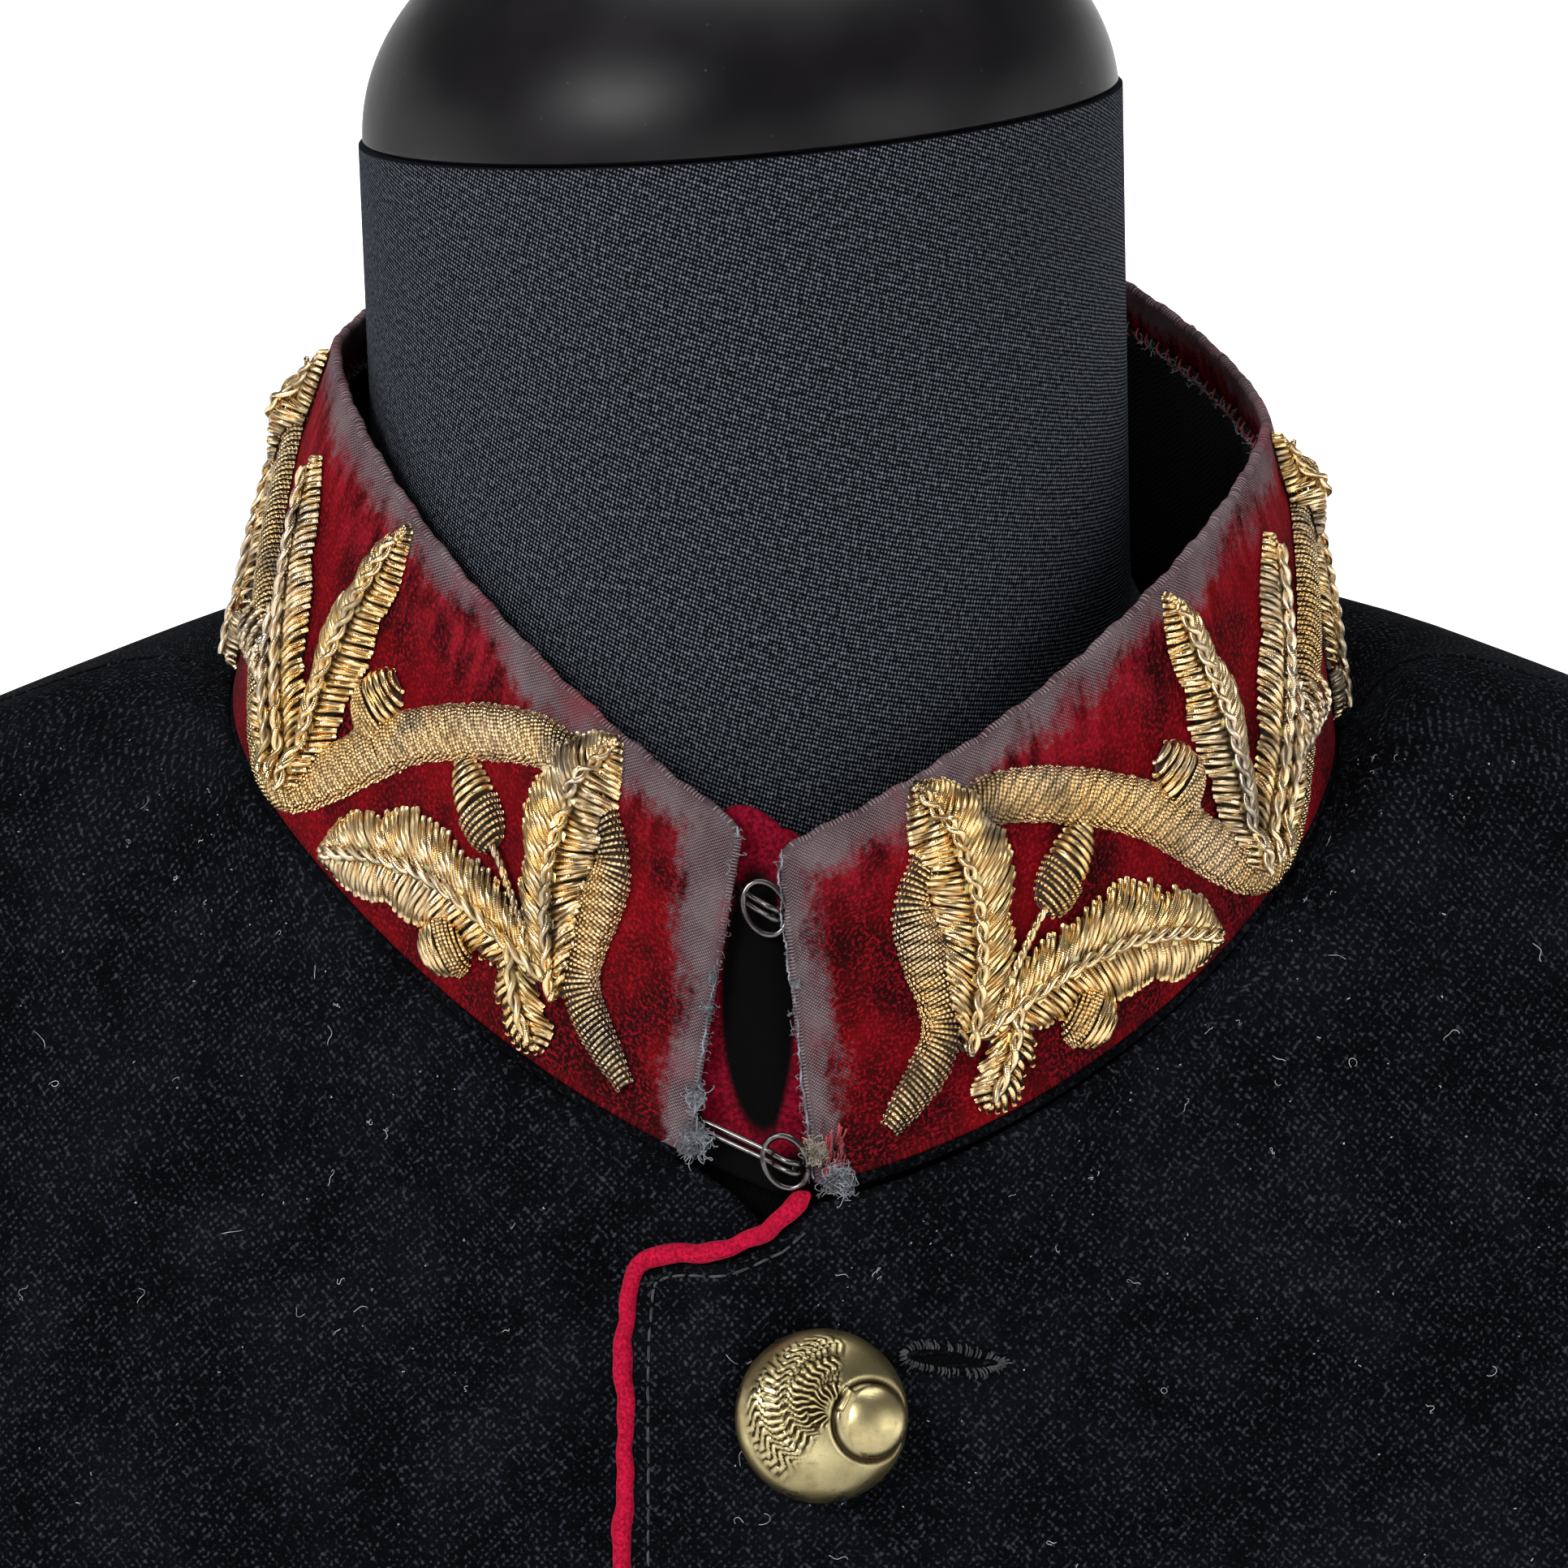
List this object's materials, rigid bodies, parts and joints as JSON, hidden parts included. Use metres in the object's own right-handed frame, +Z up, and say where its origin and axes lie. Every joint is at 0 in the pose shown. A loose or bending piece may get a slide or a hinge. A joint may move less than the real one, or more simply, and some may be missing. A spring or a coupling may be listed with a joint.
{
  "type": "officer's dress tunic on a limbless dress form with a stand",
  "caption": "Black wool dress tunic with a velvet standing collar in gold embroidery, on a limbless dress form.",
  "frame": {"origin": "centre of the underside of the stand's base", "axes": "+Z up, the front faces -Y, the wearer's left is at +X"},
  "size_m": [0.596, 0.38, 1.5611],
  "materials": {
    "wool": "felted wool, soft nap",
    "velvet": "worn cotton velvet, crimson",
    "felt": "crimson felt cord",
    "lining": "plain black cloth",
    "gold_thread": "gilt bullion thread",
    "button_brass": "aged, rubbed",
    "wire": "dark bent wire",
    "jersey": "fine black knit",
    "lacquer": "black satin lacquer",
    "stand": "black satin paint"
  },
  "bodies": {
    "root": {"front_left": "wool", "side_left": "wool", "back_left": "wool", "sleeve_top_left": "wool", "sleeve_under_left": "wool", "embroidery_left": "gold_thread", "front_right": "wool", "side_right": "wool", "back_right": "wool", "sleeve_top_right": "wool", "sleeve_under_right": "wool", "embroidery_right": "gold_thread", "front_piping": "felt", "collar_velvet": "velvet", "collar_lining": "lining", "collar_tab": "felt", "eye_top": "wire", "hook_top": "wire", "eye_low": "wire", "hook_low": "wire", "button_1": "button_brass", "button_2": "button_brass", "button_3": "button_brass", "button_4": "button_brass", "button_5": "button_brass", "button_6": "button_brass", "button_7": "button_brass", "form_torso": "jersey", "neck_cap": "lacquer", "pole": "stand", "base": "stand"}
  },
  "joints": []
}
